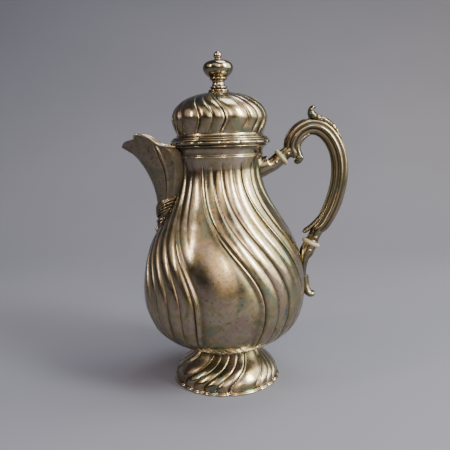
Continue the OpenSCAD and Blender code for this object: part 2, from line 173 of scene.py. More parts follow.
def grid_faces(rows, columns, start=0, loop=False):
    """Faces of a grid of closed rings. loop joins the last ring to the first."""
    faces = []
    for j in range(rows if loop else rows - 1):
        k = (j + 1) % rows
        for i in range(columns):
            h = (i + 1) % columns
            faces.append((start + j * columns + i, start + j * columns + h,
                          start + k * columns + h, start + k * columns + i))
    return faces


def tube_faces(rows, columns, start=0):
    """Faces of a grid of rings that is closed at both ends."""
    first = list(range(start, start + columns))
    last = list(range(start + (rows - 1) * columns, start + rows * columns))
    return grid_faces(rows, columns, start) + [first[::-1], last]


def tubes_piece(tubes, **rest):
    """Several closed tubes as one piece. Each is an array of rings of points."""
    points, faces = np.zeros((0, 3)), []
    for tube in tubes:
        faces += tube_faces(*tube.shape[:2], start=len(points))
        points = np.concatenate([points, tube.reshape(-1, 3)])
    return mesh_object(points, faces, np.zeros(len(points)), **rest)


def shell(outer, inner, cavity, **rest):
    """A shell between an outer and an inner stack of rings, both going up, joined at its two ends."""
    rings = np.concatenate([outer, inner[::-1]])
    # The inner rings get a cavity of 0.5: painted shade on the inside.
    shade = np.concatenate([cavity, np.full(inner.shape[:2], 0.5)])
    return mesh_object(rings, grid_faces(*rings.shape[:2], loop=True), shade, **rest)


def circle(count):
    """Even angles once round."""
    return np.linspace(0, 2 * math.pi, count, endpoint=False)


def lathe(profile, closed=False, segments=160, wobble=None, place=None, **rest):
    """A turned piece from (r, z) points. The cavity number rises in the grooves of the profile.
    closed joins the last point to the first, wobble changes the radius, and place moves the points."""
    p = np.array(profile, float)
    p[:, 0] = np.maximum(p[:, 0], 0.02)
    a = circle(segments)
    r = p[:, :1] * np.ones_like(a)
    if wobble is not None:
        r = r + wobble(a[None, :], p[:, 1:])
    z = p[:, 1:] * np.ones_like(a)
    points = np.stack([r * np.sin(a), -r * np.cos(a), z], axis=-1).reshape(-1, 3)
    faces = grid_faces(len(p), segments, loop=True) if closed else tube_faces(len(p), segments)
    before = np.roll(p, 1, axis=0) if closed else np.vstack([p[:1], p[:-1]])
    after = np.roll(p, -1, axis=0) if closed else np.vstack([p[1:], p[-1:]])
    d1, d2 = p - before, after - p
    turn = d1[:, 0] * d2[:, 1] - d1[:, 1] * d2[:, 0]
    size = np.linalg.norm(d1, axis=1) * np.linalg.norm(d2, axis=1) + 1e-9
    groove = np.clip(-turn / size * 2, 0, 1)
    groove = np.maximum(groove, 0.5 * (np.roll(groove, 1) + np.roll(groove, -1)))
    if place is not None:
        points = place(points)
    piece = mesh_object(points, faces, np.repeat(groove, segments), **rest)
    piece.data.set_sharp_from_angle(angle=math.radians(48))
    return piece


def arc(r, z, radius, first, last, steps=8):
    """Points of a round moulding about (r, z), from one angle to another, in degrees."""
    return [(r + radius * math.cos(math.radians(a)), z + radius * math.sin(math.radians(a)))
            for a in np.linspace(first, last, steps + 1)]


def thick_sheet(grid, thickness, cavity, **rest):
    """A closed sheet with its outer side on the grid of points, rows by columns."""
    across = np.gradient(grid, axis=1)
    along = np.gradient(grid, axis=0)
    normal = np.cross(across, along)
    normal /= np.linalg.norm(normal, axis=2)[:, :, None] + 1e-12
    inner = grid - normal * thickness
    rows = np.concatenate([grid, inner[:, ::-1]], axis=1)
    n, m = rows.shape[1], rows.shape[0]
    half = n // 2
    faces = grid_faces(m, n)
    for i in range(half - 1):
        faces.append((i, n - 1 - i, n - 2 - i, i + 1))
        k = (m - 1) * n
        faces.append((k + i, k + i + 1, k + n - 2 - i, k + n - 1 - i))
    # The inner side's cavity is raised by a quarter: painted shade on the inside.
    shade = np.concatenate([cavity, np.clip(cavity[:, ::-1] + 0.25, 0, 1)], axis=1)
    piece = mesh_object(rows, faces, shade, **rest)
    piece.data.set_sharp_from_angle(angle=math.radians(60))
    return piece


def sweep(path, count, section, around=72, **rest):
    """A bar along a path of (x, z, half-width in the plane, half-width along Y). section gives, for
    the angle round the bar and the share of its length, the share of the radius and the cavity."""
    p = curve(path, count)
    t = np.gradient(p[:, :2], axis=0)
    t /= np.linalg.norm(t, axis=1)[:, None]
    a = circle(around)
    share = np.linspace(0, 1, count)
    factor, shade = section(a[None, :], share[:, None])
    in_plane = p[:, 2][:, None] * np.cos(a)[None, :] * factor
    across = p[:, 3][:, None] * np.sin(a)[None, :] * factor
    x = p[:, 0][:, None] - t[:, 1][:, None] * in_plane
    z = p[:, 1][:, None] + t[:, 0][:, None] * in_plane
    points = np.stack([x, -across, z], axis=-1)
    return mesh_object(points, tube_faces(count, around), shade * np.ones_like(factor), **rest)


# ------ materials

def new_material(name):
    material = bpy.data.materials.new(name)
    material.use_nodes = True
    tree = material.node_tree
    return material, tree, tree.nodes["Principled BSDF"]


def node(tree, kind, inputs=(), **settings):
    """A new node. inputs lists its sockets, each with a fixed value or the output that feeds it."""
    made = tree.nodes.new(kind)
    for key, value in settings.items():
        setattr(made, key, value)
    for key, value in inputs:
        if isinstance(value, bpy.types.NodeSocket):
            tree.links.new(value, made.inputs[key])
        else:
            made.inputs[key].default_value = value
    return made


def noise(tree, vector, scale, detail, roughness=0.5, distortion=0.0):
    inputs = [("Vector", vector), ("Scale", scale), ("Detail", detail), ("Roughness", roughness),
              ("Distortion", distortion)]
    return node(tree, "ShaderNodeTexNoise", inputs).outputs["Fac"]


def ramp(tree, factor, stops):
    """A colour that runs through the stops, each a place and a colour."""
    made = node(tree, "ShaderNodeValToRGB", [("Fac", factor)])
    elements = made.color_ramp.elements
    while len(elements) < len(stops):
        elements.new(0.5)
    for element, (place, colour) in zip(elements, stops):
        element.position = place
        element.color = (*colour, 1)
    return made.outputs["Color"]


def mixed(tree, factor, a, b, blend="MIX"):
    return node(tree, "ShaderNodeMix", [("Factor", factor), ("A", a), ("B", b)], data_type="RGBA",
                blend_type=blend).outputs["Result"]


def ranged(tree, value, *limits, **settings):
    """value from one range to another. limits are the two ends of each, the first range first."""
    keys = ("From Min", "From Max", "To Min", "To Max")
    return node(tree, "ShaderNodeMapRange", [("Value", value), *zip(keys, limits)],
                **settings).outputs["Result"]


def bump(tree, height, strength, distance, below=None):
    """A bumped normal over another one, below. distance is in millimetres."""
    made = node(tree, "ShaderNodeBump", [("Height", height), ("Strength", strength),
                                         ("Distance", distance * MM)])
    if below is not None:
        tree.links.new(below, made.inputs["Normal"])
    return made.outputs["Normal"]


SILVER = (0.44, 0.39, 0.30)
# Colour of the grime and of the painted shade in the grooves
GROOVE_GRIME_AND_SHADE = (0.05, 0.04, 0.026, 1)
# Tarnish of silver, from blue over green and yellow to rose
TARNISH = [(0.30, (0.24, 0.29, 0.30)), (0.38, (0.32, 0.36, 0.23)), (0.46, (0.52, 0.39, 0.20)),
           (0.54, (0.58, 0.50, 0.36)), (0.64, (0.52, 0.36, 0.28)), (0.76, (0.52, 0.39, 0.20))]


def silver(name, patina, rough, dark, pits, grain, tone=0.64):
    """Aged silver. patina is how strongly its tint wanders, dark how black the grooves are made with grime
    and painted shade, pits how deep the fine pitting is, and grain how deep the fine scratches are, in
    millimetres. tone is the brightness of the whole; a lower tone makes a copy with painted shade, a higher
    one a copy with painted highlights."""
    material, tree, shader = new_material(name)
    link = tree.links.new
    place = node(tree, "ShaderNodeTexCoord").outputs["Object"]
    cavity = node(tree, "ShaderNodeAttribute", attribute_name="cavity").outputs["Fac"]

    # Colour: clouds of tarnish, small brown stains over them, and grime with painted shade in the grooves
    clouds = noise(tree, place, 58.0, 4.0, 0.55, 0.9)
    tint = ramp(tree, clouds, [(at, [tone * c for c in colour]) for at, colour in TARNISH])
    base = mixed(tree, patina, [tone * c for c in SILVER] + [1], tint)
    blot = ramp(tree, noise(tree, place, 420.0, 5.0, 0.75), [(0.37, (0.42, 0.35, 0.30)), (0.46, (1, 1, 1))])
    stained = mixed(tree, 0.65, base, blot, "MULTIPLY")
    depth = ramp(tree, cavity, [(0.15, (0, 0, 0)), (0.75, (1, 1, 1))])
    grime_and_shade = node(tree, "ShaderNodeMath", [(0, depth), (1, dark)], operation="MULTIPLY").outputs["Value"]
    link(mixed(tree, grime_and_shade, stained, GROOVE_GRIME_AND_SHADE), shader.inputs["Base Color"])

    # Roughness: smudges, and duller grooves
    gloss = ranged(tree, noise(tree, place, 85.0, 6.0, 0.65), 0.3, 0.72, rough * 0.72, rough * 1.5)
    dull = node(tree, "ShaderNodeMath", [(0, grime_and_shade), (1, 0.3), (2, gloss)], operation="MULTIPLY_ADD")
    link(dull.outputs["Value"], shader.inputs["Roughness"])

    # Surface: hammer waves, fine scratches and small pits
    planished = bump(tree, noise(tree, place, 95.0, 2.0), 0.5, 0.22)
    stretch = node(tree, "ShaderNodeMapping", [("Vector", place), ("Scale", (1.0, 1.0, 0.12))])
    scratches = noise(tree, stretch.outputs["Vector"], 2600.0, 3.0, 0.7)
    scratched = bump(tree, scratches, 0.35, grain, planished)
    cells = node(tree, "ShaderNodeTexVoronoi", [("Vector", place), ("Scale", 900.0)])
    holes = ranged(tree, cells.outputs["Distance"], 0, 0.35)
    link(bump(tree, holes, 0.5, pits, scratched), shader.inputs["Normal"])

    shader.inputs["Metallic"].default_value = 1.0
    return material


def ivory(name):
    """Old ivory: satin, with fine lines and a little brown in the low places."""
    material, tree, shader = new_material(name)
    link = tree.links.new
    place = node(tree, "ShaderNodeTexCoord").outputs["Object"]
    cavity = node(tree, "ShaderNodeAttribute", attribute_name="cavity").outputs["Fac"]
    clouds = noise(tree, place, 240.0, 5.0, 0.6)
    tint = ramp(tree, clouds, [(0.3, (0.21, 0.165, 0.095)), (0.5, (0.28, 0.235, 0.15)),
                               (0.72, (0.34, 0.295, 0.205))])
    link(mixed(tree, cavity, tint, (0.30, 0.20, 0.10, 1)), shader.inputs["Base Color"])
    link(bump(tree, noise(tree, place, 1900.0, 2.0), 0.4, 0.04), shader.inputs["Normal"])
    link(ranged(tree, clouds, 0, 1, 0.36, 0.56), shader.inputs["Roughness"])
    shader.inputs["Subsurface Weight"].default_value = 0.15
    shader.inputs["Subsurface Scale"].default_value = 0.002
    return material


fluted_silver = silver("fluted_silver", patina=0.85, rough=0.2, dark=0.8, pits=0.012, grain=0.006)
moulded_silver = silver("moulded_silver", patina=0.6, rough=0.16, dark=0.75, pits=0.004, grain=0.005)
# The low tone and black grooves of cast_silver paint shade on the cast pieces.
cast_silver = silver("cast_silver", patina=0.7, rough=0.18, dark=1.0, pits=0.006, grain=0.006, tone=0.47)
turned_silver = silver("turned_silver", patina=0.6, rough=0.13, dark=0.7, pits=0.003, grain=0.004)
# A darker copy of the silver, whose low tone paints shade on the foot's collar and the spout.
painted_shade_silver = silver("painted_shade_silver", patina=0.6, rough=0.25, dark=0.9, pits=0.006, grain=0.006, tone=0.45)
# A brighter copy of the silver, whose full tone paints highlights on the foot's rim wire and the spout's
# top wires.
painted_highlight_silver = silver("painted_highlight_silver", patina=0.4, rough=0.15, dark=0.6, pits=0.003, grain=0.004, tone=1.0)
old_ivory = ivory("old_ivory")


# ------ flutes

# Depth across a wide lobe, from its middle to the valley at its side: a low swell, a dip, a thin
# raised rib and the valley. Then the same across half a narrow lobe.
WIDE_U = [0, 0.3, 0.5, 0.65, 0.75, 0.80, 0.84, 0.87, 0.90, 0.93, 0.955, 0.975, 0.99, 1]
WIDE_D = [0.02, 0.05, 0.16, 0.32, 0.50, 0.60, 0.54, 0.26, 0.06, 0.0, 0.08, 0.32, 0.70, 1]
NARROW_U = [0, 0.25, 0.5, 0.7, 0.85, 0.94, 1]
NARROW_D = [0, 0.03, 0.13, 0.30, 0.52, 0.75, 1]
WEAK = 0.62  # depth of every second valley between the narrow lobes

POT_LOBES = (4, 4)  # wide lobes round the body and foot, and narrow lobes after each
DOME_LOBES = (6, 2)


def lobe_columns(lobes, wide_steps, narrow_steps):
    """The places of the mesh's columns: share across the wide lobe, and share along the narrow ones.
    They crowd towards the valleys, where the surface turns sharply."""
    repeats, narrow = lobes
    u = np.linspace(-1, 1, wide_steps, endpoint=False)
    u = np.sign(u) * (1 - (1 - np.abs(u)) ** 1.5)
    v = np.linspace(0, 1, narrow_steps, endpoint=False)
    v = 0.5 - 0.5 * np.cos(math.pi * v) * (0.35 + 0.65 * np.abs(np.cos(math.pi * v)) ** 0.5)
    one = [(0, s, 0.0) for s in u] + [(1, 1.0, k + s) for k in range(narrow) for s in v]
    return [(turn, *place) for turn in range(repeats) for place in one]


def fluted(profile, lobes, wide, centre, depth, columns, crease=None, plain=False):
    """Rings of a fluted surface. The width and the middle of the wide lobes, in degrees, and the
    depth are given for each row of the profile. plain leaves out the ribs. Returns the points and
    their cavity, by row and column."""
    repeats, narrow = lobes
    turn, is_narrow, u, q = np.array(columns, float).T
    period = 360 / repeats
    r, z = profile[:, 0][:, None], profile[:, 1][:, None]
    wide, centre, depth = (np.asarray(v)[:, None] for v in (wide, centre, depth))
    angle = centre + turn * period + u * wide / 2 + q * (period - wide) / narrow
    in_wide = np.abs(u) ** 5 if plain else np.interp(np.abs(u), WIDE_U, WIDE_D)
    k = np.floor(q)
    near = k + (q - k > 0.5)
    strength = np.where(near % 2 == 1, WEAK, 1.0)
    in_narrow = np.interp(np.abs(2 * (q - k) - 1), NARROW_U, NARROW_D) * strength
    share = np.where(is_narrow == 1, in_narrow, in_wide)[None, :] * np.ones_like(z)
    if crease is not None:
        share = share + crease(np.where(is_narrow == 1, 9.0, u)[None, :], z)
    rr = r - depth * share
    a = np.radians(angle)
    points = np.stack([rr * np.sin(a), -rr * np.cos(a), z * np.ones_like(a)], axis=-1)
    cavity = np.clip(share, 0, 1) ** 1.15 * np.clip(depth / depth.max(), 0, 1) ** 0.4
    return points, cavity


# ------ body

body_profile = curve([(24, BODY_LOW), (40, 32.5), (52, 42.5), (58.5, 57), (BELLY_R, 72), (57.2, 92),
                      (51.8, 107), (44, 120.5), (36, 134), (31, 146), (29.2, 157), (30.5, BODY_TOP)], 190)
FLUTE_TOP = 164  # the flutes fade out below the neck's collar
SWIRL_TOP = 157  # the flutes turn between this height and the belly
SWIRL = 47  # by how many degrees
BELLY_AT = 4  # where the middle of the front lobe lies on the belly, in degrees


def body_radius(z):
    order = np.argsort(body_profile[:, 1])
    return np.interp(z, body_profile[order, 1], body_profile[order, 0])


def body_flutes(profile, columns):
    z = profile[:, 1]
    centre = BELLY_AT - SWIRL + SWIRL * smooth((SWIRL_TOP - z) / 92) - 3 * smooth((60 - z) / 30)
    wide = mix(36, 47, smooth((SWIRL_TOP - z) / 80))
    depth = (0.034 * body_radius(z) * smooth((FLUTE_TOP - z) / 7)
             * mix(0.35, 1, smooth((z - BODY_LOW) / 12)))

    def crease(u, height):
        """The wide lobe's own crease, which starts in its middle at the neck and fades downwards."""
        down = smooth((FLUTE_TOP - height) / 60)
        at = mix(0.02, -0.42, down)
        strength = 0.55 * (1 - smooth((FLUTE_TOP - 36 - height) / 26))
        return strength * np.exp(-np.abs((u - at) / 0.09) ** 1.3)

    return fluted(profile, POT_LOBES, wide, centre, depth, columns, crease)


body_columns = lobe_columns(POT_LOBES, 44, 14)
outer, cavity = body_flutes(body_profile, body_columns)
inner, _ = body_flutes(inset(body_profile, WALL, BODY_LOW + WALL, BODY_TOP), body_columns)

STRAINER_R = 1.1
STRAINER_X = -30  # the middle of the cut through the wall
STRAINER_DEEP = 16  # its length
STRAINER_STEP = 5
STRAINER_LOW, STRAINER_ROWS = 143, 5


def drill_strainer(piece):
    """Cuts the block of round strainer holes through the body behind the spout."""
    cutter_mesh = bmesh.new()
    for row in range(STRAINER_ROWS):
        for column in (-1, 0, 1):
            at = STRAINER_X, column * STRAINER_STEP, STRAINER_LOW + row * STRAINER_STEP
            place = Matrix.Translation([v * MM for v in at]) @ Matrix.Rotation(math.radians(90), 4, "Y")
            bmesh.ops.create_cone(cutter_mesh, cap_ends=True, segments=24, radius1=STRAINER_R * MM,
                                  radius2=STRAINER_R * MM, depth=STRAINER_DEEP * MM, matrix=place)
    mesh = bpy.data.meshes.new("strainer_cutter")
    cutter_mesh.to_mesh(mesh)
    cutter_mesh.free()
    cutter = bpy.data.objects.new("strainer_cutter", mesh)
    bpy.context.scene.collection.objects.link(cutter)
    cut = piece.modifiers.new("strainer", "BOOLEAN")
    cut.object = cutter
    cut.operation = "DIFFERENCE"
    cut.solver = "MANIFOLD"
    bpy.context.view_layer.update()
    drilled = bpy.data.meshes.new_from_object(piece.evaluated_get(bpy.context.evaluated_depsgraph_get()))
    piece.modifiers.clear()
    old = piece.data
    piece.data = drilled
    bpy.data.meshes.remove(old)
    bpy.data.objects.remove(cutter)
    bpy.data.meshes.remove(mesh)


# The inner wall gets a cavity of 0.35: painted shade inside the pot.
rings = np.concatenate([outer, inner[::-1]])
drill_strainer(mesh_object(rings, tube_faces(*rings.shape[:2]),
                           np.concatenate([cavity, np.full(inner.shape[:2], 0.35)]),
                           **part("body_shell", fluted_silver, "fluted_silver")))

# ------ neck and mouth

lathe([(29.3, BODY_TOP - 0.3), (30.4, BODY_TOP - 0.3)] + arc(30.5, BODY_TOP + 0.5, 0.45, -70, 70)
      + curve([(30.6, BODY_TOP + 1.2), (30.9, 170.3), (31.5, 171.8), (32.5, 172.8), (33.2, 173.2)],
              16).tolist()
      + arc(33.3, 173.75, 0.5, -70, 80, 6)
      + [(32.9, 174.4), (32.9, 175.0), (31.6, 174.3), (30.4, 172.6), (29.3, 170.4)],
      closed=True, **part("neck_collar", moulded_silver, "moulding_silver"))

NOTCHES = 16


def notched(angle, z):
    """The rim wire is nicked at even steps and swells a little between the nicks."""
    turns = angle / (2 * math.pi) * NOTCHES
    from_nick = np.abs(turns - np.round(turns))
    return -0.55 * np.exp(-(from_nick / 0.035) ** 2) - 0.22 * np.cos(2 * math.pi * turns)


wire_r = (MOUTH_TOP - MOUTH_LOW) / 2
lathe([(33.2, MOUTH_LOW + 0.2)] + arc(MOUTH_R - wire_r - 0.25, MOUTH_LOW + wire_r, wire_r, -100, 100, 18)
      + [(33.2, MOUTH_TOP - 0.2)],
      closed=True, segments=640, wobble=notched, **part("mouth_rim", moulded_silver, "moulding_silver"))

# ------ foot

foot_profile = curve([(FOOT_R - 1.6, FOOT_RIM_H), (FOOT_R - 2.6, 8), (33.5, 13.5), (27, 19),
                      (23, FOOT_TOP)], 70)


def foot_centre(z):
    """Where the middle of the foot's front lobe lies at a height, in degrees."""
    return 19 + 32 * smooth((z - FOOT_RIM_H) / (FOOT_TOP - FOOT_RIM_H))


FOOT_LOBE = 34.0  # width of the foot's wide lobes, in degrees


def foot_flutes(profile, columns):
    z = profile[:, 1]
    depth = 1.9 * mix(1, 0.4, smooth(z / FOOT_TOP))
    return fluted(profile, POT_LOBES, np.full(len(z), FOOT_LOBE), foot_centre(z), depth, columns)


foot_columns = lobe_columns(POT_LOBES, 40, 14)
foot_outer, foot_cavity = foot_flutes(foot_profile, foot_columns)
foot_inner, _ = foot_flutes(inset(foot_profile, WALL, FOOT_RIM_H, FOOT_TOP), foot_columns)
shell(foot_outer, foot_inner, foot_cavity, **part("foot_shell", fluted_silver, "fluted_silver"))


def foot_rim_piece():
    """The scalloped wire under the foot. Its path follows the lobes of the foot's edge."""
    edge, shade = fluted(np.array([[FOOT_R, 0.0]]), POT_LOBES, [FOOT_LOBE],
                         [foot_centre(np.array(FOOT_RIM_H))], np.array([1.6]), foot_columns, plain=True)
    path = edge[0]
    radius = np.hypot(path[:, 0], path[:, 1])
    out = path[:, :2] / radius[:, None]
    half = FOOT_RIM_H / 2
    lower, upper = 0.66 * half, 0.40 * half
    section = [(-3.4, 0.0)] + [(x - lower, z) for x, z in arc(0, lower, lower, -90, 80, 12)]
    section += [(-0.95, 2 * lower + 0.04)]
    section += [(x - 0.9, z) for x, z in arc(0, FOOT_RIM_H - upper, upper, -70, 90, 8)]
    section += [(-3.4, FOOT_RIM_H)]
    rows = [np.column_stack([out * (radius[:, None] + x), np.full(len(radius), z)]) for x, z in section]
    mesh_object(np.stack(rows), grid_faces(len(section), len(radius), loop=True),
                np.tile(shade[0] * 0.4, len(section)), **part("foot_rim", painted_highlight_silver, "moulding_silver"))


foot_rim_piece()


def crumpled(angle, z):
    """The ring between foot and body is pressed into small uneven leaves."""
    return 0.22 * np.sin(20 * angle + 0.9 * np.sin(3 * angle)) + 0.08 * np.sin(47 * angle)


# The collar takes the darker silver copy, which paints the shade under the body.
lathe([(20.5, FOOT_TOP), (23.4, FOOT_TOP)] + arc(23.6, (FOOT_TOP + BODY_LOW) / 2 + 0.1, 1.15, -80, 80, 10)
      + [(23.6, BODY_LOW), (20.5, BODY_LOW)],
      closed=True, segments=480, wobble=crumpled, **part("foot_collar", painted_shade_silver, "moulding_silver"))

# ------ lid

dome_profile = curve([(31, DOME_LOW), (33, 187), (DOME_R + 0.1, 194), (31.6, 201), (25, 206.6), (16, 210),
                      (8.2, DOME_TOP), (1.6, DOME_TOP)], 100)
dome_profile[:, 1] = np.minimum(dome_profile[:, 1], DOME_TOP)


def dome_flutes(profile, columns):
    z = profile[:, 1]
    centre = 22 - 30 * (np.maximum(0, z - 192) / 19) ** 2 - 8 * smooth((192 - z) / 12)
    depth = 0.0425 * profile[:, 0] * mix(0.25, 1, smooth((z - DOME_LOW) / 6))
    return fluted(profile, DOME_LOBES, np.full(len(z), 30.0), centre, depth, columns)


dome_columns = lobe_columns(DOME_LOBES, 36, 16)
dome_outer, dome_cavity = dome_flutes(dome_profile, dome_columns)
dome_inner, _ = dome_flutes(inset(dome_profile, WALL, DOME_LOW, DOME_TOP - WALL), dome_columns)
shell(dome_outer, dome_inner, dome_cavity, **part("lid_dome", fluted_silver, "fluted_silver", "lid"))

lathe([(28.6, FLANGE_LOW + 0.02), (34.9, FLANGE_LOW + 0.02)] + arc(34.95, FLANGE_LOW + 0.62, 0.6, -85, 85)
      + [(34.0, FLANGE_LOW + 1.35)] + arc(33.6, FLANGE_LOW + 2.05, 0.58, -60, 85)
      + curve([(33.0, FLANGE_LOW + 2.8), (32.0, FLANGE_LOW + 3.2), (31.3, FLANGE_LOW + 3.9),
               (31.05, DOME_LOW + 0.3)], 10).tolist()
      + [(29.2, DOME_LOW + 0.1), (28.6, DOME_LOW - 0.7)],
      closed=True, segments=240, **part("lid_flange", moulded_silver, "moulding_silver", "lid"))

bezel_low = heights("lid_bezel")[0]
bezel_r = radius_mm("lid_bezel")
lathe([(bezel_r - 1.1, bezel_low + 0.2), (bezel_r - 0.8, bezel_low), (bezel_r - 0.4, bezel_low)]
      + [(bezel_r, bezel_low + 0.8), (bezel_r, FLANGE_LOW), (bezel_r - 1.1, FLANGE_LOW)],
      closed=True, **part("lid_bezel", turned_silver, "silver", "lid"))

# ------ finial


def turned(node):
    return part(node, turned_silver, "silver", "lid")



BULB_R = radius_mm("finial_bulb")
lathe([(1.6, DOME_TOP), (7.6, DOME_TOP - 0.4), (8.3, DOME_TOP - 0.2), (8.5, DOME_TOP + 0.3),
       (7.9, DOME_TOP + 0.7)]
      + arc(6.7, DOME_TOP + 1.6, 0.72, -60, 80, 8)
      + curve([(6.2, DOME_TOP + 2.5), (5.4, DOME_TOP + 2.9), (5.3, DOME_TOP + 3.1)], 5).tolist()
      + arc(5.4, DOME_TOP + 3.9, 0.68, -60, 80, 8)
      + [(4.9, DOME_TOP + 4.8), (4.8, DOME_TOP + 5), (1.6, DOME_TOP + 5)],
      closed=True, **turned("finial_base"))

lathe([(1.6, DOME_TOP + 5), (4.8, DOME_TOP + 5)]
      + curve([(4.75, DOME_TOP + 5.1), (4.35, DOME_TOP + 6.2), (4.3, DOME_TOP + 7.4), (4.6, DOME_TOP + 8.4),
               (5.2, DOME_TOP + 9.1)], 14).tolist()
      + arc(5.6, DOME_TOP + 10, 0.72, -70, 75, 8) + [(5.6, DOME_TOP + 10.8), (1.6, DOME_TOP + 10.8)],
      closed=True, **turned("finial_stem"))

lathe([(0.1, 221.8), (6.2, 221.8)]
      + curve([(6.4, 221.9), (7.6, 222.7), (9.2, 224.3), (10.4, 226.2), (BULB_R, 228), (10.5, 230),
               (9.2, 231.8), (7.0, 233.1), (4.4, 233.75), (2.4, 233.9)], 46).tolist() + [(0.1, 233.9)],
      **turned("finial_bulb"))

ball_r = radius_mm("finial_ball")
lathe([(0.1, 233.9), (1.8, 233.9)] + arc(1.9, 234.4, 0.5, -70, 75, 8) + [(1.9, 234.95)]
      + arc(0, TOP - ball_r, ball_r, -44, 89, 28),
      segments=64, **turned("finial_ball"))

stud_low = heights("finial_stud")[0]
stud_r = radius_mm("finial_stud")
THREAD_TOP = 212  # above this the stud is hidden in the finial
PITCH, THREAD_DEPTH = 0.7, 0.14


def threaded(angle, z):
    """The screw thread of the stud, as a change of its radius."""
    return -THREAD_DEPTH * (1 - np.cos(2 * math.pi * z / PITCH + angle)) / 2


lathe([(0.1, stud_low), (stud_r - 0.4, stud_low)]
      + [(stud_r, z) for z in np.arange(stud_low + 0.3, THREAD_TOP, 0.1)]
      + [(0.1, THREAD_TOP)],
      segments=40, wobble=threaded, **turned("finial_stud"))

nut_low, nut_high = box_mm("finial_nut")
washer_low, washer_high = box_mm("finial_washer")


def six_sided(angle, z):
    """The flats of a hexagonal nut, as a change of its corner radius."""
    from_flat = (np.degrees(angle) + 30) % 60 - 30
    corner = (nut_high[0] - nut_low[0]) / 2
    return corner * (math.cos(math.radians(30)) / np.cos(np.radians(30 - np.abs(from_flat))) - 1) * 0.98


lathe([(stud_r, nut_low[2]), (2.9, nut_low[2]), (3.18, nut_low[2] + 0.3), (3.18, nut_high[2] - 0.3),
       (2.9, nut_high[2]), (stud_r, nut_high[2])],
      closed=True, segments=96, wobble=six_sided, **turned("finial_nut"))
lathe([(stud_r + 0.05, washer_low[2]), (4.2, washer_low[2]), (4.48, washer_low[2] + 0.3),
       (4.48, washer_high[2]), (stud_r + 0.05, washer_high[2])],
      closed=True, segments=96, **turned("finial_washer"))

# ------ spout

# The beak's lip, from its tip along one side to the body
LIP = np.array([(-71.5, 0, 174.6), (-68.8, 3.2, 178.2), (-61.5, 7.4, 180.4), (-58.4, 9.4, 182.6),
                (-50.5, 11.4, 180.4), (-42.6, 12.6, 175.0), (-31, 13.4, 173.4)])
SINK = 0.6  # how far the beak's edges run into the body


def beak_level(keel_x, keel_z, y, z, t):
    """A line round one side of the beak, from its keel to the body, at half-width y and height z."""
    side_x = -math.sqrt((body_radius(z) - SINK) ** 2 - y * y)
    c = np.cos(math.pi / 2 * t) ** 0.9
    return np.stack([mix(side_x, keel_x, c), y * np.sin(math.pi / 2 * t), mix(keel_z, z, t)], axis=-1)


def spout_grid(rows, half_columns):
    """Points of the beak's outer side, from its foot to its lip, and from side to side."""
    t = np.linspace(0, 1, half_columns + 1)
    lip = even_curve(LIP, half_columns + 1)
    levels = [beak_level(*level, t) for level in
              [(-48.4, 114, 4.5, 117), (-47, 126, 7.5, 129), (-48.6, 142, 10.5, 144),
               (-53.8, 156, 12, 158), (-61.5, 167.5, 13, 168)]] + [lip]
    return even_curve(levels, rows), t


def line_on(t, at, half_width):
    """1 along a thin line of the beak's side, falling to 0 beside it."""
    return np.exp(-((t - at) / half_width) ** 2)


def spout_piece():
    grid, t = spout_grid(110, 110)
    share = np.linspace(0, 1, grid.shape[0])[:, None]
    t = t[None, :]
    # A thin rib runs down each side, with a fine groove in front of it, and a lower rib behind it
    ends = smooth((share - 0.3) / 0.15) * smooth((0.97 - share) / 0.1)
    rib_at = mix(0.655, 0.76, share)
    rib = line_on(t, rib_at, 0.018) * ends
    groove = line_on(t, rib_at - 0.04, 0.016) * ends
    low_rib = line_on(t, rib_at + 0.14, 0.03) * ends
    push = 0.5 * rib - 0.4 * groove + 0.25 * low_rib
    grid[:, :, 0] -= push * np.cos(math.pi / 2 * t)
    grid[:, :, 1] += push * np.sin(math.pi / 2 * t)
    mirrored = grid[:, ::-1].copy()
    mirrored[:, :, 1] *= -1
    both = np.concatenate([mirrored[:, :-1], grid], axis=1)
    # The cavity darkens the fine groove, and as painted shade the part of each side next to the body.
    shade = np.clip(groove + 0.7 * smooth((t - 0.86) / 0.14), 0, 1) * np.ones(grid.shape[:2])
    shade = np.concatenate([shade[:, ::-1][:, :-1], shade], axis=1)
    thick_sheet(both[:, ::-1], WALL, shade[:, ::-1], **part("spout_shell", painted_shade_silver, "silver"))


spout_piece()


def wire_points(path, radius, around, across):
    """A tube along points in space, which never runs along the direction across. radius gives the
    two half-widths at each point."""
    t = np.gradient(path, axis=0)
    t /= np.linalg.norm(t, axis=1)[:, None]
    side = np.cross(np.array(across, float), t)
    side /= np.linalg.norm(side, axis=1)[:, None]
    other = np.cross(t, side)
    a = circle(around)
    return (path[:, None, :] + side[:, None, :] * (radius[:, 0][:, None] * np.cos(a))[:, :, None]
            + other[:, None, :] * (radius[:, 1][:, None] * np.sin(a))[:, :, None])


def rim_wires():
    """The two wires along the beak's top edges."""
    r = (box_mm("spout_rim_wires")[1][2] - LIP[3][2]) / 2
    edge = even_curve([p + np.array([0, 0, r * 0.8]) for p in LIP[2:]], 60)
    taper = smooth(np.linspace(0, 1, 60) / 0.12)
    radius = np.stack([mix(0.35, r, taper)] * 2, axis=1)
    other = edge * np.array([1, -1, 1])
    tubes_piece([wire_points(path, radius, 16, (0, 1, 0)) for path in (edge, other)],
                **part("spout_rim_wires", painted_highlight_silver, "moulding_silver"))


rim_wires()


def band_path(keel_z, rise, count=60):
    """A band that crosses the beak's keel and rises to the body on both sides."""
    i = np.linspace(-1, 1, count)
    t = np.abs(i)
    z = keel_z + rise * t
    y = 10 * np.sin(math.pi / 2 * t) * np.sign(i)
    body_x = -np.sqrt(body_radius(z) ** 2 - y * y) - 0.5
    return np.stack([mix(-47.6, body_x, 1 - np.cos(math.pi / 2 * t)), y, z], axis=-1)


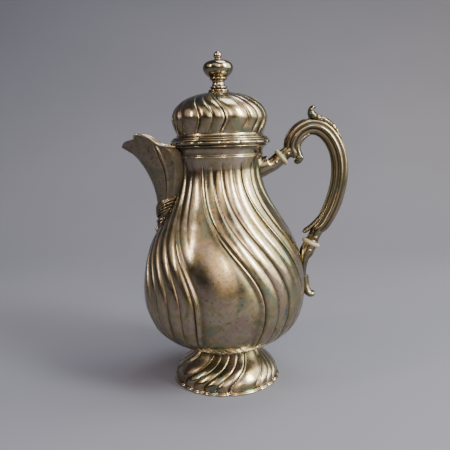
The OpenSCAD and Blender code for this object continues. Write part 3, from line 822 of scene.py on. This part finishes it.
def wrap_piece():
    """A wide wrapped leaf with veins, and a plain band below it."""
    tubes = []
    # Height on the keel, rise to the sides and half-width of each strand, from the top down
    strands = [(130.6, 8.6, 0.75), (129.2, 9.4, 0.95), (127.6, 10, 1.15), (125.9, 9.6, 1.15),
               (124.3, 8.6, 0.95), (122.9, 7.4, 0.7), (119.4, 4.5, 1.05), (117.6, 3.6, 0.55)]
    for keel_z, rise, half in strands:
        path = band_path(keel_z, rise)
        t = np.abs(np.linspace(-1, 1, len(path)))
        lumps = 1 + 0.12 * np.sin(9 * math.pi * t + keel_z)
        width = half * (1 - 0.35 * t) * lumps
        tubes.append(wire_points(path, np.stack([width, width * 0.9], axis=1), 14, (0, 0, 1)))
    tubes_piece(tubes, **part("spout_wrap", cast_silver, "cast_silver"))


wrap_piece()

DROP_TILT = 12  # degrees
DROP_AT = (-47.8, 113.8)  # middle of the drop's round end, along X and Z


def drop_place(points):
    """Stands the drop on the body's slope below the beak."""
    a = math.radians(DROP_TILT)
    x = points[:, 0] * math.cos(a) + points[:, 2] * math.sin(a)
    z = -points[:, 0] * math.sin(a) + points[:, 2] * math.cos(a)
    return np.stack([x + DROP_AT[0], points[:, 1], z + DROP_AT[1]], axis=-1)


lathe(arc(0, 0, 2, -89, 30, 14)
      + curve([(1.72, 1.1), (1.3, 2.6), (0.8, 4.4), (0.5, 5.9)], 10).tolist() + [(0.1, 6)],
      segments=48, place=drop_place, **part("spout_drop", cast_silver, "cast_silver"))

# ------ handle joints

RING_HALF = 1.7  # half the thickness of an ivory ring
TENON_L = 5.8  # how far its tenons reach beyond the ring
FERRULE_L = 6.8
SOCKET_R = 5.2
FERRULE_R = 4.4


def ring_frame(node_name, tilt):
    """The middle of an insulator's ring and the tilt of its axis above +X, in degrees."""
    low, high = box_mm(node_name)
    return (low + high) / 2, tilt


UPPER = ring_frame("upper_insulator", 38)
LOWER = ring_frame("lower_insulator", 64)


def placer(ring):
    """Puts points made about the Z axis onto an insulator's own axis."""
    at, tilt = ring
    c, s = math.cos(math.radians(tilt)), math.sin(math.radians(tilt))

    def place(points):
        return np.stack([at[0] + points[:, 2] * c + points[:, 0] * s, points[:, 1],
                         at[2] + points[:, 2] * s - points[:, 0] * c], axis=-1)
    return place


def ring_point(ring, along, across):
    """A point of the handle's plane, along an insulator's axis and across it."""
    at, tilt = ring
    c, s = math.cos(math.radians(tilt)), math.sin(math.radians(tilt))
    return np.array([at[0] + along * c + across * s, at[2] + along * s - across * c])


def insulator_piece(name, ring, radius):
    """A round ivory ring with a tenon on both sides."""
    half = [(0.1, -RING_HALF - TENON_L), (3.1, -RING_HALF - TENON_L), (3.2, -RING_HALF - 5.4),
            (3.2, -RING_HALF)]
    face = [(radius - 1.5, -RING_HALF)] + arc(radius - RING_HALF, 0, RING_HALF, -88, 88, 20)
    face += [(radius - 1.5, RING_HALF)]
    other = [(r, -z) for r, z in half[::-1]]
    lathe(half + face + other, segments=120, place=placer(ring),
          wobble=lambda a, z: 0.12 * np.sin(2 * a + 1) * (np.abs(z) < RING_HALF),
          **part(name, old_ivory, "ivory"))


insulator_piece("upper_insulator", UPPER, 6.7)
insulator_piece("lower_insulator", LOWER, 7.1)


def ferrule_piece(name, ring):
    """The silver tube at the end of the handle, with a bead next to the ring."""
    low = RING_HALF
    lathe([(3.25, low), (FERRULE_R, low)] + arc(FERRULE_R + 0.05, low + 0.5, 0.45, -80, 80, 8)
          + [(FERRULE_R - 0.05, low + 1.2), (FERRULE_R, low + 1.6), (FERRULE_R, low + FERRULE_L),
             (3.25, low + FERRULE_L)],
          closed=True, segments=96, place=placer(ring), **part(name, cast_silver, "silver"))


ferrule_piece("upper_ferrule", UPPER)
ferrule_piece("lower_ferrule", LOWER)


def pins_piece(name, ring, pins):
    """Cross pins with domed heads on both sides, one through the socket and one through the ferrule."""
    a = circle(40)
    tubes = []
    for along, across in pins:
        seat = SOCKET_R if along < 0 else FERRULE_R
        half = [(0.05, -seat - 0.64)] + arc(0, -seat - 0.02, 0.62, -86, -50, 4)[1:]
        half += [(0.85, -seat - 0.45), (1.12, -seat - 0.22), (1.22, -seat), (0.8, -seat + 0.1)]
        p = np.array(half + [(r, -y) for r, y in half[::-1]])
        x = across + p[:, :1] * np.cos(a)
        z = along + p[:, :1] * np.sin(a)
        y = -p[:, 1:] * np.ones_like(a)
        tubes.append(placer(ring)(np.stack([x, y, z], axis=-1).reshape(-1, 3)).reshape(*x.shape, 3))
    tubes_piece(tubes, **part(name, turned_silver, "silver"))


pins_piece("upper_insulator_pins", UPPER, [(-5.2, 0), (5.2, 0.8)])
pins_piece("lower_insulator_pins", LOWER, [(-5.2, 0.8), (5.2, 0.8)])


def loft(sections, count, around, **rest):
    """A solid through sections of (low point, high point, half-width along Y) in the handle's plane."""
    rows = even_curve([[*low, *high, half_y] for low, high, half_y in sections], count)
    a = circle(around)
    low, high, half_y = rows[:, None, 0:2], rows[:, None, 2:4], rows[:, 4][:, None]
    middle, half = (low + high) / 2, (high - low) / 2
    # A raised line runs along each lower side
    line = 1 + 0.05 * np.exp(-((np.abs(a - math.pi) - 0.75) / 0.14) ** 2)
    x = middle[:, :, 0] + half[:, :, 0] * np.cos(a) * line
    z = middle[:, :, 1] + half[:, :, 1] * np.cos(a) * line
    points = np.stack([x, -half_y * np.sin(a) * line, z], axis=-1)
    shade = np.exp(-((np.abs(a - math.pi) - 1.0) / 0.12) ** 2)[None, :] * 0.6 * np.ones((count, 1))
    return mesh_object(points, tube_faces(count, around), shade, **rest)


def socket_ends(ring, radius):
    """The sections of a socket next to its ivory ring, where it is round."""
    return [(ring_point(ring, -RING_HALF - back, radius), ring_point(ring, -RING_HALF - back, -radius),
             radius) for back in (6.5, 1.2, 0)]


loft([((28.2, 148.8), (28.4, 165.9), 7.8), ((30.6, 150), (30.4, 165.4), 7.2),
      ((35, 152.4), (33.4, 165.6), 6.2)]
     + socket_ends(UPPER, SOCKET_R),
     60, 72, **part("upper_socket", cast_silver, "silver"))
loft([((61.6, 75), (58.6, 75), 2.4), ((61.9, 81.5), (57, 81), 3.2), ((63.8, 88.4), (56.6, 87.4), 4.5)]
     + socket_ends(LOWER, SOCKET_R),
     80, 72, **part("lower_socket", cast_silver, "silver"))


def rounded_tip(first, last):
    """A section that closes to a round tip over the first or last share of the length."""
    def section(angle, share):
        factor = np.ones(np.broadcast(angle, share).shape)
        if first:
            factor = factor * np.sqrt(1 - (1 - np.clip(share / first, 0, 1)) ** 2 + 1e-4)
        if last:
            factor = factor * np.sqrt(1 - (1 - np.clip((1 - share) / last, 0, 1)) ** 2 + 1e-4)
        return factor, 0.15 * np.ones_like(factor)
    return section


def ridged_strap(angle, share):
    """A flat strap with a ridge down its middle that closes to a round tip."""
    factor, shade = rounded_tip(0, 0.16)(angle, share)
    ridge = 0.28 * np.exp(-(np.sin(angle) / 0.2) ** 2) * smooth((0.75 - share) / 0.3)
    groove = 0.5 * np.exp(-((np.abs(np.sin(angle)) - 0.45) / 0.12) ** 2) * (share < 0.7)
    return factor * (1 + ridge), shade + groove


sweep([(60.5, 76, 2.3, 2.6), (60.8, 70, 2.4, 2.8), (61.6, 66, 2.6, 3.2), (63, 63, 2.8, 3.6),
       (65.3, 61.9, 2.7, 3.9), (68.2, 63, 2.3, 3.4)],
      90, section=ridged_strap, **part("tail_scroll", cast_silver, "cast_silver"))

# ------ handle

GRIP_W = 6.18  # half the thickness of the grip
REEDS = 8


def reeded(angle, share):
    """Lengthwise reeds that fade out at the two ends."""
    fade = smooth(share / 0.06) * smooth((1 - share) / 0.05)
    wave = 1 - np.abs(np.cos(REEDS / 2 * angle)) ** 1.5
    return 1 - 0.17 * wave * fade, wave ** 1.1 * fade


def handle_pieces():
    """The reeded grip, the two small curls inside its loop, and the round end of the upper curl."""
    end = ring_point(LOWER, RING_HALF + FERRULE_L, 0)
    end_on = ring_point(LOWER, RING_HALF + FERRULE_L + 3, 0)
    w = GRIP_W
    path = [(54.9, 164.6, 2.4, 3.4), (53.4, 167, 4.2, 4.4), (52, 169.8, 5.5, 5.2), (51.7, 172.6, 5.9, 5.6),
            (52.6, 176, w, 6), (55, 180, w, w), (59, 183.7, w, w), (65.2, 186, w, w), (72.5, 184.6, w, w),
            (79.6, 178.4, w, w), (84.8, 168, w, w), (86.6, 155, w, w), (85.2, 142, w, w),
            (80.8, 127.6, w, w), (74.4, 115.4, 5.6, 5.6), (*end_on, 4.8, 4.8), (*end, 4.6, 4.6)]
    grip = part("handle_grip", cast_silver, "cast_silver")
    sweep(path, 260, section=reeded, around=144, **grip)
    sweep([(66, 180.9, 1.0, 2.6), (62, 179.4, 1.7, 3.4), (58, 176, 2.2, 3.8), (56, 172.4, 2.4, 4.2),
           (55.9, 168.8, 2.5, 4.4), (57, 165.6, 2.6, 4.5), (57.3, 163, 2.5, 4.6), (55.7, 161.2, 2.5, 4.5),
           (53.2, 161.3, 2.2, 3.8)],
          110, section=rounded_tip(0.1, 0.14), **{**grip, "name": "handle_upper_curl"})
    ball = np.array([57.1, 0, 163.6])
    half = [(0.1, -4.5), (1.6, -4.4), (2.4, -3.9), (2.75, -3), (2.8, 0)]
    lathe(half + [(r, -z) for r, z in half[-2::-1]], segments=48,
          place=lambda points: ball + points[:, [0, 2, 1]] * np.array([1, -1, 1]),
          **{**grip, "name": "handle_curl_ball"})
    sweep([(77, 129, 1.0, 2.2), (73.6, 122, 1.5, 2.9), (69.2, 116.6, 1.7, 3.1), (64.6, 112.4, 1.7, 3.1),
           (60.8, 109.7, 1.9, 3.1), (59.0, 108.9, 1.5, 2.6)],
          80, section=rounded_tip(0.1, 0.12), **{**grip, "name": "handle_lower_curl"})


handle_pieces()


def leaf(angle, share):
    """An acanthus leaf: a notched edge, a raised midrib and small veins."""
    edge = np.abs(np.sin(angle))
    notch = 0.16 * np.abs(np.sin(7.5 * math.pi * share)) * edge ** 6 * (1 - smooth((share - 0.72) / 0.2))
    rib = 0.22 * np.exp(-(np.sin(angle) / 0.16) ** 2) * (1 - smooth((share - 0.8) / 0.2))
    vein = 0.16 * np.cos(60 * share + 9 * edge) * (1 - edge) * edge * 2 * (1 - smooth((share - 0.66) / 0.2))
    tip = np.sqrt(1 - (1 - np.clip((1 - share) / 0.07, 0, 1)) ** 2 + 1e-4)
    base = np.sqrt(1 - (1 - np.clip(share / 0.06, 0, 1)) ** 2 + 1e-4)
    factor = (1 - notch + rib + vein) * tip * base
    return factor, np.clip(2.2 * notch - 2 * vein, 0, 1)


sweep([(87.6, 175.4, 0.9, 2.2), (85, 180.2, 1.4, 3.2), (80.8, 186, 1.7, 4.4), (75.4, 189.8, 2.0, 5.2),
       (70.2, 191.8, 2.3, 5.4), (67, 193.6, 2.6, 5), (65.9, 196.2, 2.2, 4.6), (66.3, 198.5, 1.7, 4.3),
       (67.7, 199.5, 1.4, 3.9), (68.9, 198.5, 1.2, 3.4)],
      170, section=leaf, around=96, **part("thumb_leaf", cast_silver, "cast_silver"))

# ------ floor, light and camera


def stage():
    """A pale floor that curves up into a backdrop far behind the pot."""
    material, tree, shader = new_material("stage_paper")
    place = node(tree, "ShaderNodeTexCoord").outputs["Object"]
    colour = ramp(tree, noise(tree, place, 3.0, 3.0),
                  [(0.3, (0.165, 0.165, 0.205)), (0.7, (0.180, 0.180, 0.220))])
    # Painted light and shade: the paper is darker and bluer towards its top, and darker towards its left
    split = node(tree, "ShaderNodeSeparateXYZ", [("Vector", place)])
    for axis, first, last, stops in (("Z", 0, 1.2, [(0, (1, 1, 1)), (1, (0.42, 0.48, 0.60))]),
                                     ("X", -0.7, 0.7, [(0, (0.62, 0.65, 0.75)), (1, (1, 1, 1))])):
        painted_shade_grade = ramp(tree, ranged(tree, split.outputs[axis], first, last), stops)
        colour = mixed(tree, 1, colour, painted_shade_grade, "MULTIPLY")
    tree.links.new(colour, shader.inputs["Base Color"])
    shader.inputs["Roughness"].default_value = 0.8
    # In metres: the floor runs towards +Y, bends up at a radius and ends as a wall
    bend, half, wall_top = 0.9, 3.0, 2.4
    floor_y = [-1.6, -0.8, 0.0, 0.4]
    section = [(y, 0.0) for y in floor_y]
    section += [(floor_y[-1] + bend * math.sin(math.radians(a)), bend - bend * math.cos(math.radians(a)))
                for a in range(3, 91, 3)]
    section += [(floor_y[-1] + bend, wall_top)]
    vertices = [(x, y, z) for y, z in section for x in (-half, half)]
    faces = [(2 * i, 2 * i + 1, 2 * i + 3, 2 * i + 2) for i in range(len(section) - 1)]
    mesh = bpy.data.meshes.new("floor")
    mesh.from_pydata(vertices, [], faces)
    mesh.polygons.foreach_set("use_smooth", [True] * len(faces))
    mesh.materials.append(material)
    floor = bpy.data.objects.new("floor", mesh)
    bpy.context.scene.collection.objects.link(floor)


def direction(azimuth, elevation):
    """The unit vector from the pot towards a place in the room."""
    a, e = math.radians(azimuth), math.radians(elevation)
    return np.array([math.sin(a) * math.cos(e), -math.cos(a) * math.cos(e), math.sin(e)])


# Soft windows of the room: azimuth, elevation, half-width in degrees, and colour
GLOWS = [(78, 22, 48, (5.2, 5.2, 4.1)), (6, 25, 31, (3.4, 2.7, 2.05)), (-30, 46, 26, (1.2, 0.95, 0.8)),
         (-84, 30, 22, (0.7, 0.6, 0.52))]


def world():
    """A dim grey room with a few broad soft windows."""
    made = bpy.data.worlds.new("room")
    bpy.context.scene.world = made
    made.use_nodes = True
    tree = made.node_tree
    link = tree.links.new
    place = node(tree, "ShaderNodeTexCoord").outputs["Generated"]
    split = node(tree, "ShaderNodeSeparateXYZ", [("Vector", place)])
    total = ramp(tree, ranged(tree, split.outputs["Z"], -1),
                 [(0.0, (0.05, 0.05, 0.055)), (0.5, (0.05, 0.048, 0.05)), (0.62, (0.06, 0.055, 0.05)),
                  (0.8, (0.10, 0.097, 0.095)), (1.0, (0.08, 0.08, 0.09))])
    for azimuth, elevation, half, colour in GLOWS:
        facing = node(tree, "ShaderNodeVectorMath", [(0, place), (1, direction(azimuth, elevation))],
                      operation="DOT_PRODUCT")
        fall = ranged(tree, facing.outputs["Value"], math.cos(math.radians(half)),
                      interpolation_type="SMOOTHERSTEP")
        glow = node(tree, "ShaderNodeVectorMath", [(0, colour), ("Scale", fall)], operation="SCALE")
        total = node(tree, "ShaderNodeVectorMath", [(0, total), (1, glow.outputs["Vector"])],
                     operation="ADD").outputs["Vector"]
    back = tree.nodes["Background"]
    link(total, back.inputs["Color"])
    # Past the edges of the stage the room looks like a plain pale wall
    wall = node(tree, "ShaderNodeBackground", [("Color", (0.25, 0.25, 0.28, 1))])
    seen = node(tree, "ShaderNodeLightPath").outputs["Is Camera Ray"]
    choice = node(tree, "ShaderNodeMixShader", [(0, seen), (1, back.outputs[0]), (2, wall.outputs[0])])
    link(choice.outputs[0], tree.nodes["World Output"].inputs["Surface"])


def softbox(name, azimuth, elevation, distance, width, height, power, colour):
    """An area light aimed at the middle of the pot."""
    data = bpy.data.lights.new(name, "AREA")
    data.shape = "RECTANGLE"
    data.size, data.size_y = width, height
    data.energy = power
    data.color = colour
    lamp = bpy.data.objects.new(name, data)
    back = direction(azimuth, elevation)
    aim = np.array([0, 0, TOP / 2 * MM])
    lamp.location = aim + back * distance
    lamp.rotation_euler = Vector(-back).to_track_quat("-Z", "Y").to_euler()
    bpy.context.scene.collection.objects.link(lamp)


CAMERA_AT = (0.0018, -0.397, 0.1765)  # metres
CAMERA_TILT = 8.7  # degrees below level
CAMERA_ROLL = -1.63
CAMERA_LENS = 43.4


def camera():
    """The photograph's viewing angle."""
    data = bpy.data.cameras.new("camera")
    data.sensor_width = 36
    data.lens = CAMERA_LENS
    data.clip_start, data.clip_end = 0.01, 20
    cam = bpy.data.objects.new("camera", data)
    tilt = Matrix.Rotation(math.radians(90 - CAMERA_TILT), 4, "X")
    roll = Matrix.Rotation(math.radians(CAMERA_ROLL), 4, "Z")
    cam.matrix_world = Matrix.Translation(CAMERA_AT) @ tilt @ roll
    bpy.context.scene.collection.objects.link(cam)
    bpy.context.scene.camera = cam


stage()
world()
# Azimuth and elevation in degrees, distance, width and height in metres, power in watts, and colour
softbox("key", 58, 30, 0.9, 0.22, 0.5, 14, (0.98, 1.0, 0.90))
softbox("strip", 10, 26, 1.1, 0.05, 0.3, 2.2, (1.0, 0.95, 0.86))
softbox("left", -62, 30, 1.0, 0.1, 0.4, 4, (1.0, 0.88, 0.76))
softbox("top", 120, 76, 1.1, 0.5, 0.5, 8, (0.95, 0.97, 1.0))
camera()
